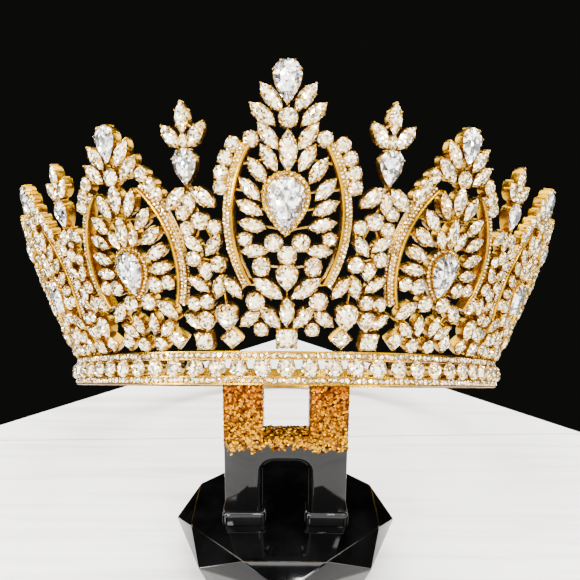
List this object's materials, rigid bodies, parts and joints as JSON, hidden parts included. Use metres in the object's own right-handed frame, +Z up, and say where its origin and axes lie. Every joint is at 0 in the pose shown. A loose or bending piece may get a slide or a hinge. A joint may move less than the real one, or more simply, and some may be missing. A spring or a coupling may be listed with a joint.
{
  "type": "bridal crown on display stand",
  "caption": "Tall pierced bridal crown, open at the rear, with arched stone-set panels and finials on a round band, leaning back on a small stand with a gem-cut base.",
  "frame": {"origin": "centre of the underside of the stand's foot", "axes": "+Z up, -Y towards the front of the crown, +X across the crown"},
  "size_m": [0.1854, 0.1577, 0.1352],
  "materials": {
    "gold_metal": "polished, warm yellow",
    "clear_stone": "faceted, clear with warm glints",
    "base_resin": "glossy black",
    "upright_resin": "glossy black with an amber zone"
  },
  "bodies": {
    "root": {"stand_base": "base_resin", "stand_upright": "upright_resin", "band": "gold_metal", "panel_0": "gold_metal", "panel_1r": "gold_metal", "panel_1l": "gold_metal", "panel_2r": "gold_metal", "panel_2l": "gold_metal", "panel_3r": "gold_metal", "panel_3l": "gold_metal", "finial_1r": "gold_metal", "finial_1l": "gold_metal", "finial_2r": "gold_metal", "finial_2l": "gold_metal", "finial_3r": "gold_metal", "finial_3l": "gold_metal", "finial_4r": "gold_metal", "finial_4l": "gold_metal", "crest_pear_0": "clear_stone", "crest_pear_1r": "clear_stone", "crest_pear_1l": "clear_stone", "crest_pear_2r": "clear_stone", "crest_pear_2l": "clear_stone", "crest_pear_3r": "clear_stone", "crest_pear_3l": "clear_stone", "main_pear_0": "clear_stone", "main_pear_1r": "clear_stone", "main_pear_1l": "clear_stone", "main_pear_2r": "clear_stone", "main_pear_2l": "clear_stone", "main_pear_3r": "clear_stone", "main_pear_3l": "clear_stone", "finial_pear_1r": "clear_stone", "finial_pear_1l": "clear_stone", "finial_pear_2r": "clear_stone", "finial_pear_2l": "clear_stone", "finial_pear_3r": "clear_stone", "finial_pear_3l": "clear_stone", "finial_pear_4r": "clear_stone", "finial_pear_4l": "clear_stone", "panel_stones_0": "clear_stone", "panel_stones_1r": "clear_stone", "panel_stones_1l": "clear_stone", "panel_stones_2r": "clear_stone", "panel_stones_2l": "clear_stone", "panel_stones_3r": "clear_stone", "panel_stones_3l": "clear_stone", "finial_stones_1r": "clear_stone", "finial_stones_1l": "clear_stone", "finial_stones_2r": "clear_stone", "finial_stones_2l": "clear_stone", "finial_stones_3r": "clear_stone", "finial_stones_3l": "clear_stone", "finial_stones_4r": "clear_stone", "finial_stones_4l": "clear_stone"}
  },
  "joints": []
}
